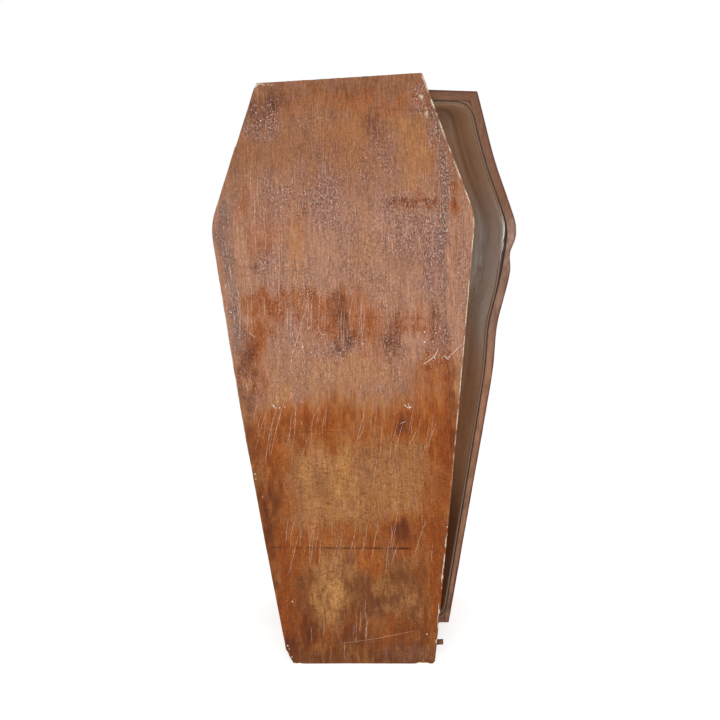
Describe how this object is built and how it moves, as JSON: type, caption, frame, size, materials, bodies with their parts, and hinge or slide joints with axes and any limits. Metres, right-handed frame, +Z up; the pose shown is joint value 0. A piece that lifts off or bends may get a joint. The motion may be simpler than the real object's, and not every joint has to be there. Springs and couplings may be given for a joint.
{
  "type": "wooden coffin",
  "caption": "Worn six-sided wooden coffin stood on its foot end: an open box with a coved lining, and its flat lid leaning against its head.",
  "frame": {"origin": "on the floor, under the middle of the whole part's bounding box", "axes": "+Z up, +X to the right of someone who faces the lid, +Y from the lid towards the back of the box"},
  "size_m": [1.0026, 0.6432, 1.8753],
  "materials": {
    "lid_wood": "aged tan stain over pale gesso, cracked, scratched and worn to white at the edges",
    "batten_wood": "bare dark wood",
    "box_wood": "aged red-brown stain, worn and dusty",
    "box_lining": "smooth grey-brown painted lining with a dull sheen"
  },
  "bodies": {
    "root": {"lid_main_board": "lid_wood", "lid_left_wing": "lid_wood", "lid_right_wing": "lid_wood", "lid_foot_batten": "batten_wood", "box_back_board": "box_wood", "box_left_side_board": "box_wood", "box_right_side_board": "box_wood", "box_head_board": "box_wood", "box_foot_board": "box_wood", "box_lining": "box_lining"}
  },
  "joints": []
}
